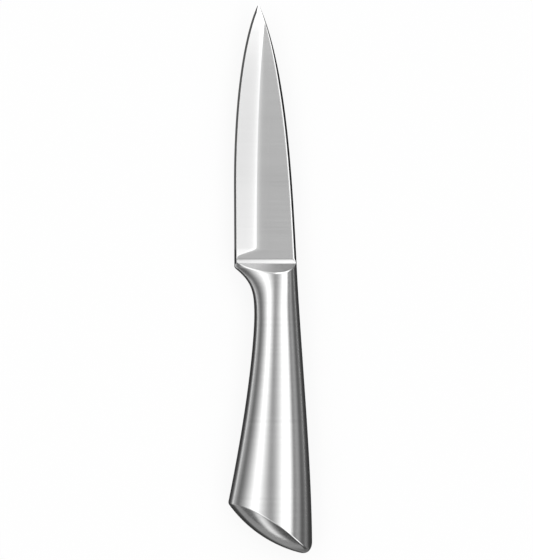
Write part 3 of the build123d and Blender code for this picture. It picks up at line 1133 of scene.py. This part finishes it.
blade_steel = steel("satin_blade_steel", 0.77, 0.2, 0.00045, 0.08)
# Near-black steel: painted shade for the thin dark line along the edge and the spine.
shade_line_steel = steel("painted_shade_edge_steel", 0.07, 0.3, 0.0002, 0.08)
bevel_steel = steel("ground_bevel_steel", 0.85, 0.2, 0.00045, 0.08)
handle_steel = steel("brushed_handle_steel", 0.64, 0.17, 0.001, 0.18)
for finish in (blade_steel, shade_line_steel, bevel_steel):
    blade.data.materials.append(finish)
for piece, _ in stands_for.values():
    if piece is not blade:
        piece.data.materials.append(handle_steel)
hidden_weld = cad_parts["tang_weld"]
hidden_weld.data.materials.clear()
hidden_weld.data.materials.append(handle_steel)

# %% [markdown]
# ## The studio
#
# A polished handle is a mirror bent round a stick. Looking straight down on it, a slope of 10
# degrees shows what stands 20 degrees off the zenith, and so on, so the bands along the handle
# are a map of the studio, read from left to right. Two long soft boxes hang beside the camera
# and make the two bright bands. The gap between them, where the camera looks through, is the
# grey band along the middle. Past the boxes it is dim, down to the pale walls at the horizon.
# A third box beyond the tip lights the hollow weld at the root of the blade. Behind the butt it
# is dark but for one narrow window, which makes the streak on the dome, and a lamp low on that
# side draws the bright line along the butt's edge.
#
# Area lamps have hard ends, and the real boxes fade out over their cloth, so the studio is
# painted on the sky instead. The lean is an angle across the knife and the tilt one along it,
# both in degrees off the zenith. A feathered strip between two angles is a box.

# %% Angles on the sky
world = bpy.data.worlds.new("studio")
bpy.context.scene.world = world
sky = bare_tree(world)
ray = add_node(sky, "ShaderNodeTexCoord", output="Generated")
parts = add_node(sky, "ShaderNodeSeparateXYZ", {}, {0: ray}).socket.node
ray_x, ray_y, ray_z = (Signal(sky, socket) for socket in parts.outputs)
DEGREES = 180 / np.pi
lean = ray_x.math("ARCTAN2", ray_x, ray_z) * DEGREES
tilt = ray_y.math("ARCSINE", ray_y) * DEGREES


def ramp(angle, start, end, power=1.0):
    """0 at the start angle and 1 at the end angle, as the share of the way to a power."""
    limits = {"Value": angle, "From Min": start, "From Max": end}
    share = add_node(sky, "ShaderNodeMapRange", {}, limits)
    return share.math("POWER", share, power)


def bump_at(angle, middle, reach):
    """1 at the middle angle, falling to 0 a reach away on both sides, as (1 - d^2)^2."""
    away = (angle - middle) / reach
    inside = away.math("MAXIMUM", 1.0 - away * away, 0.0)
    return inside * inside


# %% The boxes and the walls
BOX_LIGHT, TIP_LIGHT, GAP_LIGHT = 1.85, 2.4, 0.37
left_box = ramp(lean, -70, -30, 2.0) * ramp(lean, 0, -22, 1.3)
right_box = ramp(lean, 0, 20, 1.5) * ramp(lean, 44, 35)
outside_left = ramp(lean, -30, -70, 0.6)
outside_right = ramp(lean, 35, 44)
walls = (
    GAP_LIGHT
    - 0.17 * outside_left
    - 0.22 * outside_right
    + 0.42 * bump_at(lean, -92, 24)
    + 0.18 * bump_at(lean, 92, 18)
    + 0.35 * bump_at(lean, 55, 14)
)
tip_box = ramp(tilt, 2, 36, 0.7) * ramp(lean, 40, 5) * ramp(lean, -2, 1)
light = walls + (BOX_LIGHT - GAP_LIGHT) * (left_box + right_box)
light = light.math("MAXIMUM", light, TIP_LIGHT * tip_box)

# %% Behind the butt: a dark wall, a narrow window that leans over, and a low lamp
turn = ray_y.math("ARCTAN2", ray_y, ray_x) * DEGREES
drop = ray_z.math("ARCCOSINE", ray_z) * DEGREES
WINDOW_SLANT, WINDOW_DROP, WINDOW_LIGHT, LAMP_LIGHT = 0.78, 75.0, 1.3, 1.5
past_window = turn - WINDOW_SLANT * (drop - WINDOW_DROP)
window = bump_at(past_window, -125, 8) * ramp(drop, 60, 72)
behind = ramp(tilt, -28, -42)
rear_wall = 0.15 - 0.06 * ramp(past_window, -124, -112) + WINDOW_LIGHT * window
light = light * (1.0 - behind) + behind * rear_wall
light = light + LAMP_LIGHT * bump_at(turn, -55, 45) * bump_at(drop, 48, 20)

# %% Beyond the tip: a wall that is paler on the left
beyond = ramp(tilt, 70, 86)
tip_wall = ramp(ray_x, 0.06, -0.06)
light = light * (1.0 - beyond) + beyond * (0.24 + 0.9 * tip_wall)
background = add_node(sky, "ShaderNodeBackground", {}, {"Color": light, "Strength": 1.0})
add_node(sky, "ShaderNodeOutputWorld", {}, {"Surface": background})
print("studio painted with", len(sky.nodes), "nodes")

# %% [markdown]
# ## Table and card
#
# The table is white. Steel mirrors it in its undersides, and on a white table the sides of a
# handle would vanish. Photographers lay dark card just beside the piece, out of the picture, to
# draw a dark line along each side. The card here is seen by reflections only. It is black beside
# the knife, fades out along its edges, and is thinner behind the butt and beyond the tip.


# %% Table
def stage_sheet(name, corners):
    """A flat sheet of one square face, for the studio."""
    mesh = bpy.data.meshes.new(name)
    mesh.from_pydata(corners, [], [(0, 1, 2, 3)])
    sheet = add_object(name, mesh)
    return sheet


def square(half, z):
    """Corners of a level square."""
    return [(-half, -half, z), (half, -half, z), (half, half, z), (-half, half, z)]


TABLE_HALF, CARD_HALF, CARD_HEIGHT = 3.0, 2.9, 0.0002
PURE_WHITE = 0.88
floor = stage_sheet("floor", square(TABLE_HALF, 0.0))
table_white = bpy.data.materials.new("table_white")
paint = bare_tree(table_white)
way = add_node(paint, "ShaderNodeLightPath").socket.node
seen = Signal(paint, way.outputs["Is Camera Ray"])
for kind in ("Is Glossy Ray", "Is Transmission Ray"):
    seen = seen.math("MAXIMUM", seen, Signal(paint, way.outputs[kind]))
matt = add_node(paint, "ShaderNodeBsdfDiffuse", {}, {"Color": (0.97, 0.97, 0.97, 1)})
pure = add_node(paint, "ShaderNodeEmission", {}, {"Color": (1, 1, 1, 1), "Strength": 1.0})
both = add_node(paint, "ShaderNodeMixShader", {}, {0: seen * PURE_WHITE, 1: matt, 2: pure})
add_node(paint, "ShaderNodeOutputMaterial", {}, {"Surface": both})
floor.data.materials.append(table_white)

# %% Dark card, which only reflections see
card = stage_sheet("dark_card", square(CARD_HALF, CARD_HEIGHT))
card.visible_camera = card.visible_diffuse = card.visible_shadow = card.visible_transmission = False
card_paint = bpy.data.materials.new("dark_card")
dark = bare_tree(card_paint)
spot = add_node(dark, "ShaderNodeTexCoord", output="Object")
spot = add_node(dark, "ShaderNodeSeparateXYZ", {}, {0: spot}).socket.node
spot_x, spot_y = (Signal(dark, socket) for socket in spot.outputs[:2])


def smooth(value, start, end, low=0.0, high=1.0):
    """Smooth step of a place on the card, from low at the start to high at the end."""
    settings = {"interpolation_type": "SMOOTHSTEP"}
    limits = {"From Min": start, "From Max": end, "To Min": low, "To Max": high}
    return add_node(dark, "ShaderNodeMapRange", settings, {"Value": value, **limits})


STRIP_MIDDLE, STRIP_HALF, STRIP_FADE = 0.19, 0.21, 0.1
aside = spot_x - STRIP_MIDDLE
past_x = aside.math("ABSOLUTE", aside) - STRIP_HALF
beside = smooth(past_x, 0.0, STRIP_FADE, 0.95, 0.0) * smooth(spot_x, 0.02, 0.12, 1.0, 0.82)
beside = beside * smooth(spot_y, -0.135, -0.1) * smooth(spot_y, 0.185, 0.085)
rear_card = smooth(spot_y, -0.09, -0.12) * smooth(spot_x, -0.004, 0.008, 0.62, 0.82)
front_card = smooth(spot_y, 0.15, 0.5) * smooth(spot_x, -0.3, 0.25, 0.3, 0.8)
cover = beside.math("MAXIMUM", beside, rear_card.math("MAXIMUM", rear_card, front_card))
clear = add_node(dark, "ShaderNodeBsdfTransparent")
black = add_node(dark, "ShaderNodeBsdfDiffuse", {}, {"Color": (0.01, 0.01, 0.01, 1)})
mixed = add_node(dark, "ShaderNodeMixShader", {}, {0: cover, 1: clear, 2: black})
add_node(dark, "ShaderNodeOutputMaterial", {}, {"Surface": mixed})
card.data.materials.append(card_paint)

# %% [markdown]
# ## Camera
#
# The photograph looks straight down from some way off. A long lens gives the same flat view,
# and the distance follows from the size of one pixel on the knife.

# %% Camera
PHOTO_WIDTH, PHOTO_HEIGHT = 533, 560
DATUM_ACROSS, DATUM_DOWN = 269.8, 258.0
PIXEL = 0.35 * MM
camera_data = bpy.data.cameras.new("camera")
camera = add_object("camera", camera_data)
bpy.context.scene.camera = camera
camera_data.sensor_width = 36.0
camera_data.lens = 150.0
distance = PHOTO_HEIGHT * PIXEL * camera_data.lens / camera_data.sensor_width
off_x, off_y = PHOTO_WIDTH / 2 - DATUM_ACROSS, DATUM_DOWN + 0.5 - PHOTO_HEIGHT / 2
frame_middle = datum + PIXEL * np.array([off_x, off_y, 0])
camera.location = Vector(frame_middle) + Vector((0, 0, distance))
camera.rotation_euler = (0, 0, 0)
camera_data.clip_end = 100
print("camera", round(distance, 3), "m above the knife's middle plane")

scene = bpy.context.scene
scene.view_settings.view_transform = "Standard"
